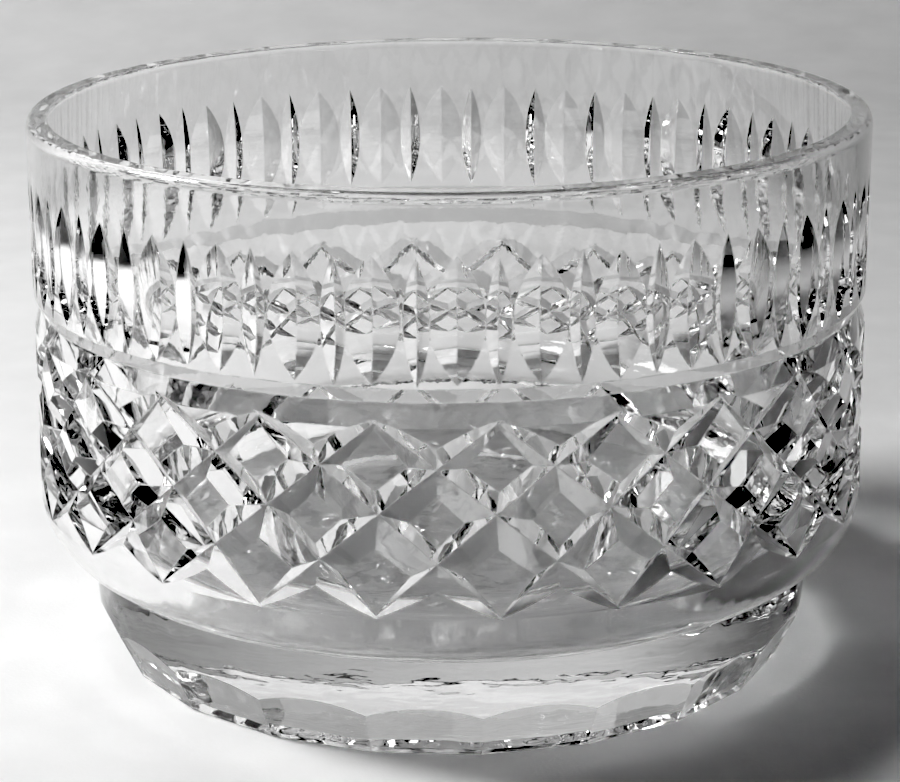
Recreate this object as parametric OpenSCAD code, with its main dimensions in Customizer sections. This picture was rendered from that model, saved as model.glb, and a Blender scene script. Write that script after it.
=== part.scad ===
// Cut crystal trifle bowl: one thick-walled piece of glass on a low faceted foot.
// The blank is turned as one profile, and every cut is made in it by the shape of the
// wheel that grinds it. Heights count up from the table, and turns count from the front.

/* [Body] */
// Outer radius of the plain band and of the band of upright slices
band_r = 101; // [92:0.5:112]
// Swell of the wall, from the band down to where the shoulder starts to turn in
band_swell = 0.4; // [0:0.1:2]
// Width of the shoulder, from there in to the crease over the foot
shoulder_w = 12.1; // [10:0.1:14]
// Height of the plain band under the rim
plain_h = 13.1; // [8:0.1:30]
// Height of the shoulder, from the crease up to the diamond band
shoulder_h = 14.7; // [13:0.1:17]
// Radius of the rounding of the shoulder
shoulder_round_r = 17.6; // [15:0.1:24]

/* [Rim] */
// Width of the flat ground and polished top of the rim
rim_flat_w = 3.5; // [2:0.1:4.5]
// Height of the rounded outer edge of the rim
rim_edge_h = 2.7; // [1:0.1:4]

/* [Inside] */
// Wall thickness at the rim
rim_wall = 5.1; // [4.5:0.1:7]
// Thinnest wall, where the inside bellies out behind the slices
belly_wall = 3.6; // [3.4:0.1:4.4]
// Depth of that place under the rim
belly_drop = 25.6; // [20:0.2:32]
// Radius of the belly's curve, from the rim down
belly_round_r = 150; // [100:5:220]
// Wall thickness where the inside starts to round into the floor
low_wall = 8.4; // [6.5:0.1:10]
// Thickness of glass from the table to the floor inside the bowl
floor_t = 21; // [15:0.5:28]
// Radius of the rounding between the inside wall and the floor
floor_round_r = 26; // [18:0.5:34]

/* [Upright slices] */
// Number of narrow slices round the band
slice_count = 36; // [30:1:40]
// Height of each slice from tip to tip
slice_h = 28.3; // [22:0.1:34]
// Width of a narrow slice at half its height
slice_w = 5.8; // [4.6:0.1:6.2]
// Depth of a narrow slice at half its height
slice_depth = 2.1; // [1.6:0.1:2.3]
// Width of a broad flute, between two narrow slices, at half its height
flute_w = 12.4; // [10:0.1:13]
// Depth of a broad flute at half its height
flute_depth = 2; // [1.4:0.1:2.2]
// Plain glass left between the tips of the slices and the ring cut under them
slice_gap = 0.4; // [0.2:0.1:2]

/* [Ring cut] */
// Height of the ring cut between the slices and the diamonds
ring_h = 8.6; // [6:0.1:11]
// Height of the ring cut's upper face
ring_face_h = 3.4; // [2:0.1:5]
// Depth of the ring cut
ring_depth = 1.6; // [1:0.1:2.2]

/* [Diamonds] */
// Number of slanting cuts each way round the bowl
diamond_count = 24; // [20:1:28]
// Height of the slanting cuts from tip to tip
diamond_h = 43.4; // [38:0.1:50]
// Width of a slanting cut at half its height
diamond_cut_w = 10; // [8.5:0.1:10.6]
// Depth of the slanting cuts at their top tips, where they run into the ring cut
diamond_tip_depth = 1; // [0.6:0.1:1.3]
// Height by which the ring cut takes away those tips
diamond_overlap = 0.9; // [0.4:0.1:1.5]
// Plain glass left between the low tips of the slanting cuts and the shoulder
diamond_gap = 0.3; // [0.2:0.1:2]

/* [Foot] */
// Height of the foot, from the table to the crease
foot_h = 25.2; // [21:0.1:32]
// Draw-in of the foot's wall, from the crease to the corners between two panels
foot_draw = 1; // [0.3:0.1:3]
// Draw-in of the panels, from those corners to the table
panel_draw = 5.3; // [3:0.1:8]
// Number of flat panels ground round the foot
panel_count = 21; // [18:1:26]
// Height of the corners between two panels
panel_h = 11; // [8:0.1:15]
// Radius of the shallow hollow ground in the underside
hollow_r = 62; // [40:1:72]
// Depth of that hollow
hollow_h = 2.2; // [1:0.1:4]

/* [Hidden] */
$fn = 96;

// Turn of the cut pattern, and of the foot's panels, from the front
pattern_turn = 6;
panel_turn = 4.75;
// Room that a cutter keeps past the glass it cuts
overrun = 1;
// The same for an upright wheel, small so that neighbouring wheels stay apart
upright_overrun = 0.2;
// Straight pieces in the rounded outer edge of the rim
rim_steps = 6;
// Part of the hollow's radius that is flat
hollow_flat_share = 0.93;
// Reach of a slice of a circle's face, as a share of its radius, well past the circle
sector_reach_share = 1.6;
// Arc of a grinding wheel that is drawn, as a share of the arc that cuts
wheel_arc_share = 1.35;
// Length of a slanting cutter, as a share of the cut's own length
cutter_length_share = 1.12;
// Height that the cutters of the foot's panels reach, as a share of the foot's height
panel_reach_share = 0.8;

// Heights of the zones, from the foot up
diamond_z = foot_h + shoulder_h;
diamond_mid_z = diamond_z + diamond_gap + diamond_h / 2;
ring_low_z = diamond_z + diamond_gap + diamond_h - diamond_overlap;
ring_top_z = ring_low_z + ring_h;
slice_mid_z = ring_top_z + slice_gap + slice_h / 2;
bowl_h = slice_mid_z + slice_h / 2 + plain_h;

// Radii down the outside
shoulder_r = band_r + band_swell;
crease_r = shoulder_r - shoulder_w;
foot_r = crease_r - foot_draw;
base_r = foot_r - panel_draw;

// Inside
rim_inner_r = band_r - rim_wall;
rim_flat_r = rim_inner_r + rim_flat_w;
low_inner_r = band_r - low_wall;
belly_centre = [band_r - belly_wall - belly_round_r, bowl_h - belly_drop];
floor_centre = [low_inner_r - floor_round_r, floor_t + floor_round_r];

// Depth from a circle's edge to its chord, half that chord being half_w long
function sagitta(r, half_w) = r - sqrt(r * r - half_w * half_w);
// Radius of the wheel that cuts a slice of the given height and depth
function wheel_radius(h, depth) = (h * h / 4 + depth * depth) / (2 * depth);
// Slope of a V cut's faces that gives the width at half the slice's height
function cut_slope(w, depth) = atan((depth - sagitta(band_r, w / 2)) / (w / 2));
// Middle of the arc through two points, a above b, that swells away from the axis
function arc_centre(a, b, r) =
    let (
        mid = (a + b) / 2,
        chord = norm(a - b),
        inwards = [b[1] - a[1], a[0] - b[0]] / chord
    )
    mid + inwards * sqrt(r * r - chord * chord / 4);

// Point on a circle at a turn up from level
function on_circle(centre, r, a) = centre + r * [cos(a), sin(a)];
// Turn at which a line from a point above touches the circle
function touch_turn(centre, r, p) =
    atan2(p[1] - centre[1], p[0] - centre[0]) - acos(r / norm(p - centre));
// Turn at which one line touches both circles, the second below the first
function shared_turn(centre, r, low_centre, low_r) =
    atan2(centre[1] - low_centre[1], centre[0] - low_centre[0])
    - acos((low_r - r) / norm(centre - low_centre));

belly_top_turn = touch_turn(belly_centre, belly_round_r, [rim_inner_r, bowl_h]);
belly_low_turn = shared_turn(belly_centre, belly_round_r, floor_centre, floor_round_r);

shoulder_top = [shoulder_r, diamond_z];
shoulder_foot = [crease_r, foot_h];
shoulder_centre = arc_centre(shoulder_top, shoulder_foot, shoulder_round_r);

// Half of the blank's outline, with the shoulder still straight
module blank_profile() {
    rim_round_w = band_r - rim_flat_r;
    foot_flare = foot_draw / (foot_h - panel_h);
    rim_edge = [
        for (i = [0 : rim_steps])
            let (a = 90 * i / rim_steps)
            [rim_flat_r + rim_round_w * sin(a), bowl_h - rim_edge_h * (1 - cos(a))]
    ];
    polygon(concat(
        [
            [0, hollow_h],
            [hollow_r * hollow_flat_share, hollow_h],
            [hollow_r, 0],
            [foot_r - foot_flare * panel_h, 0],
            shoulder_foot,
            shoulder_top,
            [band_r, ring_low_z],
            [band_r - ring_depth, ring_top_z - ring_face_h],
            [band_r, ring_top_z]
        ],
        [for (i = [0 : rim_steps]) rim_edge[rim_steps - i]],
        [[0, bowl_h]]
    ));
}

// The swelling of the shoulder outside its chord
module shoulder_profile() {
    intersection() {
        translate(shoulder_centre)
            circle(r = shoulder_round_r);
        polygon([
            shoulder_centre,
            shoulder_foot,
            [shoulder_r, foot_h],
            shoulder_top
        ]);
    }
}

// Slice of a circle's face between two turns
module sector(centre, r, start, end) {
    reach = r * sector_reach_share;
    intersection() {
        translate(centre)
            circle(r = r);
        polygon([
            centre,
            on_circle(centre, reach, start),
            on_circle(centre, reach, (start + end) / 2),
            on_circle(centre, reach, end)
        ]);
    }
}

// Half of the hollow inside the bowl
module inside_profile() {
    wall_top = on_circle(belly_centre, belly_round_r, belly_low_turn);
    wall_low = on_circle(floor_centre, floor_round_r, belly_low_turn);
    polygon([
        [0, floor_t],
        [floor_centre[0], floor_t],
        wall_low,
        wall_top,
        on_circle(belly_centre, belly_round_r, belly_top_turn),
        [rim_inner_r, bowl_h],
        [rim_inner_r, bowl_h + overrun],
        [0, bowl_h + overrun]
    ]);
    sector(floor_centre, floor_round_r, -90, belly_low_turn);
    intersection() {
        sector(belly_centre, belly_round_r, belly_low_turn, belly_top_turn);
        translate([0, floor_t])
            square([band_r, bowl_h - floor_t]);
    }
}

// The turned blank, before any cutting
module blank() {
    difference() {
        rotate_extrude() {
            blank_profile();
            shoulder_profile();
        }
        rotate_extrude()
            inside_profile();
    }
}

// Edge of a V-shaped grinding wheel that stands upright against the front of the band
module upright_wheel(h, w, depth) {
    wheel_r = wheel_radius(h, depth);
    slope = cut_slope(w, depth);
    reach = depth + upright_overrun;
    half_arc = asin(h / 2 / wheel_r) * wheel_arc_share;
    translate([0, -band_r + depth - wheel_r, slice_mid_z])
        rotate([90, 0, 90])
            rotate([0, 0, -half_arc])
                rotate_extrude(angle = 2 * half_arc)
                    polygon([
                        [wheel_r, 0],
                        [wheel_r - reach, reach / tan(slope)],
                        [wheel_r - reach, -reach / tan(slope)]
                    ]);
}

// The narrow slices, or the broad flutes when shift is half a pitch
module upright_cuts(h, w, depth, shift) {
    for (i = [0 : slice_count - 1])
        rotate([0, 0, pattern_turn + (i + shift) * 360 / slice_count])
            upright_wheel(h, w, depth);
}

// The slanting cuts that lean one way: each is one straight stroke of a V-shaped wheel,
// whose ends run out of the round wall two pitches apart, the top end a little deeper
module slanting_cuts(lean) {
    pitch = 360 / diamond_count;
    diamond_r = (band_r + shoulder_r) / 2;
    half_run = diamond_r * sin(pitch);
    chord_r = diamond_r * cos(pitch) - diamond_tip_depth / 2;
    depth = diamond_r - chord_r;
    reach = depth + overrun;
    half_w = reach * (diamond_cut_w / 2) / depth;
    stroke = 2 * norm([half_run, diamond_h / 2]);
    dip = asin(diamond_tip_depth / stroke);
    for (i = [0 : diamond_count - 1])
        rotate([0, 0, pattern_turn + i * pitch])
            translate([0, -chord_r, diamond_mid_z])
                rotate([-dip, lean * atan(2 * half_run / diamond_h), 0])
                    linear_extrude(height = stroke * cutter_length_share, center = true)
                        polygon([[0, 0], [-half_w, -reach], [half_w, -reach]]);
}

// The glass outside the foot's flat panels
module panel_cuts() {
    pitch = 360 / panel_count;
    flat_share = cos(pitch / 2);
    low_flat = base_r * flat_share;
    taper = atan(panel_draw * flat_share / panel_h);
    reach = foot_h * panel_reach_share;
    for (i = [0 : panel_count - 1])
        rotate([0, 0, panel_turn + (i + 1 / 2) * pitch])
            translate([0, -low_flat, 0])
                rotate([taper, 0, 0])
                    translate([-foot_h, -foot_h, -foot_h])
                        cube([2 * foot_h, foot_h, foot_h + reach]);
}

module bowl() {
    color([0.86, 0.89, 0.9, 0.55])
        difference() {
            blank();
            upright_cuts(slice_h, slice_w, slice_depth, 0);
            upright_cuts(slice_h, flute_w, flute_depth, 1 / 2);
            slanting_cuts(1);
            slanting_cuts(-1);
            panel_cuts();
        }
}

bowl();
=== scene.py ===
"""A cut crystal trifle bowl on a sheet of white paper, in soft light from the left.

The bowl is made as it is made in glass: a blank is turned, then wheels cut it.
Sizes are in millimetres until a mesh is finished. Turns count from the front, in degrees.
"""

import math
import random

import bmesh
import bpy
from mathutils import Matrix, Vector


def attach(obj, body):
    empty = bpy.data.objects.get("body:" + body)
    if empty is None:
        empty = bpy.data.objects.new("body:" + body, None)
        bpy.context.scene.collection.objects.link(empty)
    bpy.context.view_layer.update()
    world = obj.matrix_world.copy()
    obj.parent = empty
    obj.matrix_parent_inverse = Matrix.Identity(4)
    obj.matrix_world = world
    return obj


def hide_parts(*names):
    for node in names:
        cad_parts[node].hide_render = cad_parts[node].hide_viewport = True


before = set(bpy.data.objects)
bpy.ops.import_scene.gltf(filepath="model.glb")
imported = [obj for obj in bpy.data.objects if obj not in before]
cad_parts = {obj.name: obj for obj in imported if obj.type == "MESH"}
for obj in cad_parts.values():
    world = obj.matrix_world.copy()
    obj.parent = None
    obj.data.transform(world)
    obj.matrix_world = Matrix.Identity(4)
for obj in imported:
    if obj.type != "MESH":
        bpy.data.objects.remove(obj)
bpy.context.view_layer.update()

MM = 0.001

# Body
BAND_R = 101.0
SHOULDER_R = 101.4
CREASE_R = 89.3
PLAIN_H = 13.1
SHOULDER_H = 14.7
SHOULDER_ROUND_R = 17.6

# Rim
RIM_FLAT_W = 3.5
RIM_EDGE_H = 2.7

# Inside
RIM_WALL = 5.1
BELLY_WALL = 3.6
BELLY_DROP = 25.6
BELLY_ROUND_R = 150.0
LOW_WALL = 8.4
FLOOR_T = 21.0
FLOOR_ROUND_R = 26.0

# Upright slices, and the broad flutes between them
SLICE_COUNT = 36
SLICE_H = 28.3
SLICE_W = 5.8
SLICE_DEPTH = 2.1
FLUTE_W = 12.4
FLUTE_DEPTH = 2.0
SLICE_GAP = 0.4

# Ring cut
RING_H = 8.6
RING_FACE_H = 3.4
RING_DEPTH = 1.6

# Slanting cuts
DIAMOND_COUNT = 24
DIAMOND_H = 43.4
DIAMOND_CUT_W = 10.0
DIAMOND_TIP_DEPTH = 1.0
DIAMOND_OVERLAP = 0.9
DIAMOND_GAP = 0.3

# Foot
FOOT_H = 25.2
FOOT_R = 88.3
BASE_R = 83.0
PANEL_COUNT = 21
PANEL_H = 11.0
HOLLOW_R = 62.0
HOLLOW_H = 2.2
HOLLOW_FLAT_SHARE = 0.93

# Turn of the cut pattern, and of the foot's panels
PATTERN_TURN = 6.0
PANEL_TURN = 4.75

# Heights of the zones, from the foot up
DIAMOND_Z = FOOT_H + SHOULDER_H
DIAMOND_MID_Z = DIAMOND_Z + DIAMOND_GAP + DIAMOND_H / 2
RING_LOW_Z = DIAMOND_Z + DIAMOND_GAP + DIAMOND_H - DIAMOND_OVERLAP
RING_TOP_Z = RING_LOW_Z + RING_H
SLICE_MID_Z = RING_TOP_Z + SLICE_GAP + SLICE_H / 2
BOWL_H = SLICE_MID_Z + SLICE_H / 2 + PLAIN_H
RIM_INNER_R = BAND_R - RIM_WALL
RIM_FLAT_R = RIM_INNER_R + RIM_FLAT_W
LOW_INNER_R = BAND_R - LOW_WALL

# Fineness of the meshes
TURN_STEPS = 720
ROUND_STEPS = 36
BELLY_STEPS = 24
RIM_STEPS = 10
WHEEL_STEPS = 40
SHARP_ANGLE = 4.0
TURNED_WELD = 0.0001
CUT_WELD = 0.0005

# Room that a cutter keeps past the glass it cuts
OVERRUN = 1.0
WHEEL_ARC_SHARE = 1.35
STROKE_SHARE = 1.12
PANEL_REACH_SHARE = 1.5

# How far off its place the grinder's hand leaves a cut: turn, depth and height
HAND_TURN = 0.22
HAND_DEPTH = 0.08
HAND_LIFT = 0.3

# Lead crystal bends light more than plain glass
CRYSTAL_INDEX = 1.55

# Rounding that acid polishing leaves on every edge
POLISH_R = 0.4
POLISH_SAMPLES = 4

# Slow waves of the blank, their length and depth: full up to one height, faded out above it
BLANK_WAVE = 14.0
BLANK_DEPTH = 0.28
WAVY_H = 26.0
WAVY_FADE_H = 14.0
WALL_WAVE_SHARE = 0.12

# Fine waves that grinding leaves, their length and depth
GROUND_WAVE = 1.6
GROUND_DEPTH = 0.004
WAVE_DETAIL = 2.0

# The paper's white, the dull share of it in its clouds, their size, and its tooth and relief
PAPER_WHITE = 0.86
PAPER_DULL_SHARE = 0.94
PAPER_CLOUD = 30.0
CLOUD_DETAIL = 5.0
CLOUD_LOW_SHARE = 0.3
CLOUD_HIGH_SHARE = 0.7
PAPER_TOOTH = 0.9
TOOTH_DETAIL = 4.0
PAPER_RELIEF = 0.05
PAPER_ROUGHNESS = 0.9
PAPER_SHEEN = 0.1

# The paper's sweep, in metres
PAPER_HALF_W = 3.0
PAPER_FRONT = -5.0
PAPER_GAP = 0.0002
SWEEP_START = 0.7
SWEEP_R = 0.6
SWEEP_WALL_H = 0.6
SWEEP_STEPS = 32

# Each light's place, its width and height, in metres, and its brightness
LEFT_WINDOW = ((-0.84, -0.01, 0.77), (0.3, 0.27), 40.0)
BACK_LIGHT = ((-0.45, 1.0, 1.0), (0.5, 0.5), 1.9)
FRONT_LIGHT = ((0.2, -2.5, 0.79), (3.6, 0.9), 1.6)
LIGHT_AIM = (0.0, 0.0, 0.05)
ROOM_BRIGHTNESS = 0.05

# The camera, found from the ellipses of the rim, the ring cut and the foot
CAMERA_REACH = 0.641
CAMERA_ELEVATION = 10.472
CAMERA_YAW = 1.129
CAMERA_PITCH = -6.195
CAMERA_ROLL = 0.398
CAMERA_LENS = 105.85
CAMERA_SHIFT = 0.0587
FILM_W = 36.0
NEAREST_SEEN = 0.01

# The darkest and the lightest tone that the print keeps apart
PRINT_BLACK = 0.11
PRINT_WHITE = 0.77

# How often light may turn inside the glass and off it, and how little its glints are blurred
THROUGH_GLASS_TURNS = 24
OFF_GLASS_TURNS = 12
GLINT_BLUR = 0.05


def on_circle(centre, radius, degrees):
    """Point on a circle, at a turn up from level."""
    t = math.radians(degrees)
    return (centre[0] + radius * math.cos(t), centre[1] + radius * math.sin(t))


def arc(centre, radius, start, end, steps):
    """Points along an arc, from one angle to the other in degrees."""
    return [on_circle(centre, radius, start + (end - start) * k / steps) for k in range(steps + 1)]


def turn_of(v):
    return math.degrees(math.atan2(v[1], v[0]))


def shoulder_arc():
    """The rounded shoulder, from the crease over the foot up to the diamond band."""
    top = Vector((SHOULDER_R, DIAMOND_Z))
    low = Vector((CREASE_R, FOOT_H))
    chord = (top - low).length
    inwards = Vector((low.y - top.y, top.x - low.x)) / chord
    centre = (top + low) / 2 + inwards * math.sqrt(SHOULDER_ROUND_R**2 - chord**2 / 4)
    return arc(centre, SHOULDER_ROUND_R, turn_of(low - centre), turn_of(top - centre), ROUND_STEPS)


def rim_edge():
    """The rounded outer edge of the rim, from the wall up to the flat top."""
    width = BAND_R - RIM_FLAT_R
    quarter = arc((0.0, 0.0), 1.0, 0.0, 90.0, RIM_STEPS)
    return [(RIM_FLAT_R + width * x, BOWL_H - RIM_EDGE_H * (1 - y)) for x, y in quarter]


def inside_outline():
    """The inside, from the rim down: a straight lip, the belly, a straight wall, the floor."""
    rim = Vector((RIM_INNER_R, BOWL_H))
    belly = Vector((BAND_R - BELLY_WALL - BELLY_ROUND_R, BOWL_H - BELLY_DROP))
    base = Vector((LOW_INNER_R - FLOOR_ROUND_R, FLOOR_T + FLOOR_ROUND_R))
    to_rim = rim - belly
    apart = belly - base
    lip_turn = turn_of(to_rim) - math.degrees(math.acos(BELLY_ROUND_R / to_rim.length))
    wall_turn = turn_of(apart) - math.degrees(math.acos((FLOOR_ROUND_R - BELLY_ROUND_R) / apart.length))
    return [
        tuple(rim),
        *arc(belly, BELLY_ROUND_R, lip_turn, wall_turn, BELLY_STEPS),
        *arc(base, FLOOR_ROUND_R, wall_turn, -90.0, ROUND_STEPS),
        (0.0, FLOOR_T),
    ]


def blank_outline():
    """Half of the blank's section, from the middle of the underside round to the inside floor."""
    foot_flare = (CREASE_R - FOOT_R) / (FOOT_H - PANEL_H)
    return [
        (0.0, HOLLOW_H),
        (HOLLOW_R * HOLLOW_FLAT_SHARE, HOLLOW_H),
        (HOLLOW_R, 0.0),
        (FOOT_R - foot_flare * PANEL_H, 0.0),
        *shoulder_arc(),
        (BAND_R, RING_LOW_Z),
        (BAND_R - RING_DEPTH, RING_TOP_Z - RING_FACE_H),
        (BAND_R, RING_TOP_Z),
        *rim_edge(),
        *inside_outline(),
    ]


def finished(name, bm):
    """An object of the bmesh, at the origin."""
    mesh = bpy.data.meshes.new(name)
    bm.to_mesh(mesh)
    bm.free()
    obj = bpy.data.objects.new(name, mesh)
    bpy.context.scene.collection.objects.link(obj)
    return obj


def turned(name, outline, closed, steps):
    """An outline of (radius, height) points turned once round the upright axis."""
    bm = bmesh.new()
    points = [bm.verts.new((0.0, -r, z)) for r, z in outline]
    for a, b in zip(points, points[1:] + points[:1] if closed else points[1:]):
        bm.edges.new((a, b))
    bmesh.ops.spin(
        bm, geom=bm.verts[:] + bm.edges[:], cent=(0, 0, 0), axis=(0, 0, 1),
        angle=math.tau, steps=steps, use_merge=True,
    )
    bmesh.ops.remove_doubles(bm, verts=bm.verts[:], dist=TURNED_WELD)
    bmesh.ops.recalc_face_normals(bm, faces=bm.faces[:])
    return finished(name, bm)


def repeated(name, cutter, places):
    """One object with a copy of the cutter's mesh at each place."""
    bm = bmesh.new()
    for place in places:
        before = len(bm.verts)
        bm.from_mesh(cutter)
        bm.verts.ensure_lookup_table()
        bmesh.ops.transform(bm, matrix=place, verts=bm.verts[before:])
    bmesh.ops.recalc_face_normals(bm, faces=bm.faces[:])
    bpy.data.meshes.remove(cutter)
    return finished(name, bm)


def turn(degrees):
    return Matrix.Rotation(math.radians(degrees), 4, "Z")


def upright_wheel(height, width, depth):
    """The edge of a V-shaped wheel that stands upright against the front of the band."""
    wheel_r = (height**2 / 4 + depth**2) / (2 * depth)
    sagitta = BAND_R - math.sqrt(BAND_R**2 - width**2 / 4)
    spread = (width / 2) / (depth - sagitta)
    reach = depth + OVERRUN / 2
    half_arc = math.asin(height / 2 / wheel_r) * WHEEL_ARC_SHARE
    centre = Vector((0.0, -BAND_R + depth - wheel_r, SLICE_MID_Z))
    bm = bmesh.new()
    section = [(0.0, wheel_r), (reach * spread, wheel_r - reach), (-reach * spread, wheel_r - reach)]
    start = Matrix.Translation(centre) @ Matrix.Rotation(-half_arc, 4, "X")
    points = [bm.verts.new(start @ Vector((x, y, 0.0))) for x, y in section]
    for a, b in zip(points, points[1:] + points[:1]):
        bm.edges.new((a, b))
    bmesh.ops.spin(
        bm, geom=bm.verts[:] + bm.edges[:], cent=centre, axis=(1, 0, 0),
        angle=2 * half_arc, steps=WHEEL_STEPS,
    )
    bmesh.ops.holes_fill(bm, edges=bm.edges[:], sides=3)
    bmesh.ops.recalc_face_normals(bm, faces=bm.faces[:])
    mesh = bpy.data.meshes.new("wheel")
    bm.to_mesh(mesh)
    bm.free()
    return mesh


def by_hand(hand, degrees):
    """A cut's place at a turn round the bowl, a little off, as the grinder's hand leaves it."""
    off = Vector((0.0, hand.uniform(0.0, HAND_DEPTH), hand.uniform(-HAND_LIFT, HAND_LIFT)))
    return turn(degrees + hand.uniform(-HAND_TURN, HAND_TURN)) @ Matrix.Translation(-off)


def upright_cuts(name, height, width, depth, shift):
    """The narrow slices, or the broad flutes when shift is half a pitch."""
    hand = random.Random(name)
    pitch = 360.0 / SLICE_COUNT
    places = [by_hand(hand, PATTERN_TURN + (i + shift) * pitch) for i in range(SLICE_COUNT)]
    return repeated(name, upright_wheel(height, width, depth), places)


def slanting_cuts(name, lean):
    """The slanting cuts that lean one way: straight strokes of a V-shaped wheel."""
    pitch = 360.0 / DIAMOND_COUNT
    radius = (BAND_R + SHOULDER_R) / 2
    half_run = radius * math.sin(math.radians(pitch))
    chord_r = radius * math.cos(math.radians(pitch)) - DIAMOND_TIP_DEPTH / 2
    depth = radius - chord_r
    reach = depth + OVERRUN
    half_w = reach * (DIAMOND_CUT_W / 2) / depth
    half_length = math.hypot(half_run, DIAMOND_H / 2)
    half_stroke = half_length * STROKE_SHARE
    dip = Matrix.Rotation(-math.asin(DIAMOND_TIP_DEPTH / 2 / half_length), 4, "X")
    tilt = Matrix.Rotation(lean * math.atan2(2 * half_run, DIAMOND_H), 4, "Y")
    bm = bmesh.new()
    section = [(0.0, 0.0), (-half_w, -reach), (half_w, -reach)]
    end = bm.faces.new([bm.verts.new((x, y, -half_stroke)) for x, y in section])
    lifted = bmesh.ops.extrude_face_region(bm, geom=[end], use_keep_orig=True)
    raised = [g for g in lifted["geom"] if isinstance(g, bmesh.types.BMVert)]
    bmesh.ops.translate(bm, vec=(0, 0, 2 * half_stroke), verts=raised)
    place = Matrix.Translation((0, -chord_r, DIAMOND_MID_Z)) @ tilt @ dip
    bmesh.ops.transform(bm, matrix=place, verts=bm.verts[:])
    mesh = bpy.data.meshes.new("stroke")
    bm.to_mesh(mesh)
    bm.free()
    hand = random.Random(name)
    return repeated(name, mesh, [by_hand(hand, PATTERN_TURN + i * pitch) for i in range(DIAMOND_COUNT)])


def panel_cutter():
    """A ring whose many-sided inside grinds the flat panels round the foot."""
    slope = (FOOT_R - BASE_R) / PANEL_H
    low, high = -OVERRUN, PANEL_H * PANEL_REACH_SHARE
    section = [
        (BASE_R + slope * low, low),
        (BAND_R, low),
        (BAND_R, high),
        (BASE_R + slope * high, high),
    ]
    ring = turned("panels", section, True, PANEL_COUNT)
    ring.data.transform(turn(PANEL_TURN))
    return ring


def cut(blank, cutter):
    """Cuts the cutter's shape out of the blank."""
    grind = blank.modifiers.new(cutter.name, "BOOLEAN")
    grind.operation = "DIFFERENCE"
    grind.solver = "MANIFOLD"
    grind.object = cutter
    bpy.context.view_layer.update()
    solid = bpy.data.meshes.new_from_object(blank.evaluated_get(bpy.context.evaluated_depsgraph_get()))
    blank.modifiers.clear()
    blank.data = solid
    bpy.data.objects.remove(cutter)


def polished(obj):
    """Smooth shading that keeps every ground edge crisp."""
    bm = bmesh.new()
    bm.from_mesh(obj.data)
    bmesh.ops.remove_doubles(bm, verts=bm.verts[:], dist=CUT_WELD)
    bmesh.ops.dissolve_degenerate(bm, edges=bm.edges[:], dist=CUT_WELD)
    open_edges = sum(1 for e in bm.edges if not e.is_manifold)
    for face in bm.faces:
        face.smooth = True
    for edge in bm.edges:
        if edge.is_manifold:
            edge.smooth = edge.calc_face_angle(0.0) < math.radians(SHARP_ANGLE)
    triangles = sum(len(f.verts) - 2 for f in bm.faces)
    print("bowl mesh:", triangles, "triangles,", open_edges, "open edges")
    bm.to_mesh(obj.data)
    bm.free()


def crystal():
    """Clear lead crystal, cut and polished by hand."""
    mat = bpy.data.materials.new("clear_crystal")
    mat.use_nodes = True
    nodes, links = mat.node_tree.nodes, mat.node_tree.links
    shader = nodes["Principled BSDF"]
    shader.inputs["Base Color"].default_value = (1.0, 1.0, 1.0, 1.0)
    shader.inputs["Transmission Weight"].default_value = 1.0
    shader.inputs["Roughness"].default_value = 0.0
    shader.inputs["IOR"].default_value = CRYSTAL_INDEX
    rounding = nodes.new("ShaderNodeBevel")
    rounding.samples = POLISH_SAMPLES
    rounding.inputs["Radius"].default_value = POLISH_R * MM
    place = nodes.new("ShaderNodeTexCoord")
    height = nodes.new("ShaderNodeSeparateXYZ")
    links.new(place.outputs["Object"], height.inputs["Vector"])
    low = nodes.new("ShaderNodeMapRange")
    low.inputs["From Min"].default_value = WAVY_H * MM
    low.inputs["From Max"].default_value = (WAVY_H + WAVY_FADE_H) * MM
    low.inputs["To Min"].default_value = 1.0
    low.inputs["To Max"].default_value = WALL_WAVE_SHARE
    links.new(height.outputs["Z"], low.inputs["Value"])
    surface = rounding
    for wave, depth, strength in ((BLANK_WAVE, BLANK_DEPTH, low), (GROUND_WAVE, GROUND_DEPTH, None)):
        waves = nodes.new("ShaderNodeTexNoise")
        waves.inputs["Scale"].default_value = 1.0 / (wave * MM)
        waves.inputs["Detail"].default_value = WAVE_DETAIL
        swell = nodes.new("ShaderNodeBump")
        swell.inputs["Strength"].default_value = 1.0
        swell.inputs["Distance"].default_value = depth * MM
        links.new(place.outputs["Object"], waves.inputs["Vector"])
        links.new(waves.outputs["Fac"], swell.inputs["Height"])
        links.new(surface.outputs["Normal"], swell.inputs["Normal"])
        if strength:
            links.new(strength.outputs["Result"], swell.inputs["Strength"])
        surface = swell
    links.new(surface.outputs["Normal"], shader.inputs["Normal"])
    return mat


def make_bowl():
    bowl = turned("crystal_bowl", blank_outline(), False, TURN_STEPS)
    cut(bowl, upright_cuts("slices", SLICE_H, SLICE_W, SLICE_DEPTH, 0.0))
    cut(bowl, upright_cuts("flutes", SLICE_H, FLUTE_W, FLUTE_DEPTH, 0.5))
    cut(bowl, slanting_cuts("slanting_right", 1))
    cut(bowl, slanting_cuts("slanting_left", -1))
    cut(bowl, panel_cutter())
    polished(bowl)
    bowl.data.transform(Matrix.Scale(MM, 4))
    bowl.data.materials.clear()
    bowl.data.materials.append(crystal())
    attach(bowl, "root")
    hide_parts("bowl")
    return bowl


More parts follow.
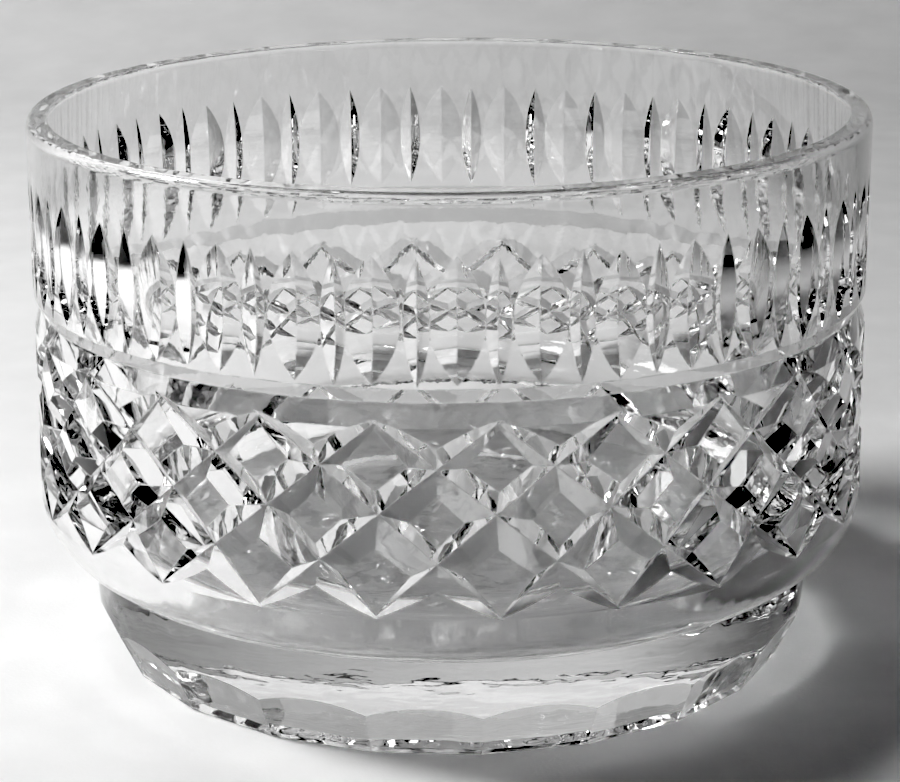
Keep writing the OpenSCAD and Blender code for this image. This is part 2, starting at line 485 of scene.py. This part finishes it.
def paper():
    """Plain white paper, with a faint tooth and soft unevenness in its white."""
    mat = bpy.data.materials.new("white_paper")
    mat.use_nodes = True
    nodes, links = mat.node_tree.nodes, mat.node_tree.links
    shader = nodes["Principled BSDF"]
    shader.inputs["Roughness"].default_value = PAPER_ROUGHNESS
    shader.inputs["Specular IOR Level"].default_value = PAPER_SHEEN
    place = nodes.new("ShaderNodeTexCoord")
    cloud = nodes.new("ShaderNodeTexNoise")
    cloud.inputs["Scale"].default_value = 1.0 / (PAPER_CLOUD * MM)
    cloud.inputs["Detail"].default_value = CLOUD_DETAIL
    white = nodes.new("ShaderNodeValToRGB")
    dull, bright = white.color_ramp.elements
    dull.position = CLOUD_LOW_SHARE
    dull.color = (*[PAPER_WHITE * PAPER_DULL_SHARE] * 3, 1.0)
    bright.position = CLOUD_HIGH_SHARE
    bright.color = (*[PAPER_WHITE] * 3, 1.0)
    tooth = nodes.new("ShaderNodeTexNoise")
    tooth.inputs["Scale"].default_value = 1.0 / (PAPER_TOOTH * MM)
    tooth.inputs["Detail"].default_value = TOOTH_DETAIL
    relief = nodes.new("ShaderNodeBump")
    relief.inputs["Strength"].default_value = 1.0
    relief.inputs["Distance"].default_value = PAPER_RELIEF * MM
    for grain in (cloud, tooth):
        links.new(place.outputs["Object"], grain.inputs["Vector"])
    links.new(cloud.outputs["Fac"], white.inputs["Fac"])
    links.new(white.outputs["Color"], shader.inputs["Base Color"])
    links.new(tooth.outputs["Fac"], relief.inputs["Height"])
    links.new(relief.outputs["Normal"], shader.inputs["Normal"])
    return mat


def make_floor():
    """The sheet of paper under the bowl, which sweeps up far behind it."""
    bm = bmesh.new()
    sweep = arc((SWEEP_START, SWEEP_R), SWEEP_R, -90.0, 0.0, SWEEP_STEPS)
    edge = [(PAPER_FRONT, 0.0), *sweep, (SWEEP_START + SWEEP_R, SWEEP_R + SWEEP_WALL_H)]
    points = [bm.verts.new((-PAPER_HALF_W, y, z - PAPER_GAP)) for y, z in edge]
    lines = [bm.edges.new(pair) for pair in zip(points, points[1:])]
    drawn = bmesh.ops.extrude_edge_only(bm, edges=lines)
    far = [g for g in drawn["geom"] if isinstance(g, bmesh.types.BMVert)]
    bmesh.ops.translate(bm, vec=(2 * PAPER_HALF_W, 0, 0), verts=far)
    bmesh.ops.recalc_face_normals(bm, faces=bm.faces[:])
    for face in bm.faces:
        face.smooth = True
    floor = finished("paper_floor", bm)
    floor.data.materials.append(paper())


def area_light(name, place, size, radiance):
    """A soft light of a real size, aimed at the bowl, with a brightness per area."""
    data = bpy.data.lights.new(name, "AREA")
    data.shape = "RECTANGLE"
    data.size, data.size_y = size
    data.energy = radiance * math.pi * size[0] * size[1]
    light = bpy.data.objects.new(name, data)
    light.location = place
    light.rotation_euler = (Vector(LIGHT_AIM) - Vector(place)).to_track_quat("-Z", "Y").to_euler()
    bpy.context.scene.collection.objects.link(light)


def make_light():
    """A bright window on the left, weak light from behind and from the front, and a dim room."""
    area_light("left_window", *LEFT_WINDOW)
    area_light("back_light", *BACK_LIGHT)
    area_light("front_light", *FRONT_LIGHT)
    world = bpy.data.worlds.new("studio")
    bpy.context.scene.world = world
    world.use_nodes = True
    world.node_tree.nodes["Background"].inputs["Color"].default_value = (*[ROOM_BRIGHTNESS] * 3, 1.0)


def make_camera():
    data = bpy.data.cameras.new("camera")
    data.lens = CAMERA_LENS
    data.sensor_width = FILM_W
    data.shift_x = CAMERA_SHIFT
    data.clip_start = NEAREST_SEEN
    camera = bpy.data.objects.new("camera", data)
    bpy.context.scene.collection.objects.link(camera)
    rise = math.radians(CAMERA_ELEVATION)
    place = Vector((0.0, -math.cos(rise), math.sin(rise))) * CAMERA_REACH
    place.z += BOWL_H * MM
    camera.matrix_world = (
        Matrix.Translation(place)
        @ Matrix.Rotation(math.radians(90.0 - CAMERA_ELEVATION), 4, "X")
        @ Matrix.Rotation(math.radians(CAMERA_YAW), 4, "Y")
        @ Matrix.Rotation(math.radians(CAMERA_PITCH), 4, "X")
        @ Matrix.Rotation(math.radians(-CAMERA_ROLL), 4, "Z")
    )
    bpy.context.scene.camera = camera


def make_print():
    """A print a little harder than life, with the light followed far through the glass."""
    scene = bpy.context.scene
    scene.view_settings.view_transform = "Standard"
    scene.view_settings.use_curve_mapping = True
    contrast = scene.view_settings.curve_mapping
    contrast.black_level = [PRINT_BLACK] * 3
    contrast.white_level = [PRINT_WHITE] * 3
    contrast.update()
    scene.cycles.max_bounces = THROUGH_GLASS_TURNS
    scene.cycles.transmission_bounces = THROUGH_GLASS_TURNS
    scene.cycles.glossy_bounces = OFF_GLASS_TURNS
    scene.cycles.use_denoising = True
    scene.cycles.blur_glossy = GLINT_BLUR


make_camera()
make_bowl()
make_floor()
make_light()
make_print()
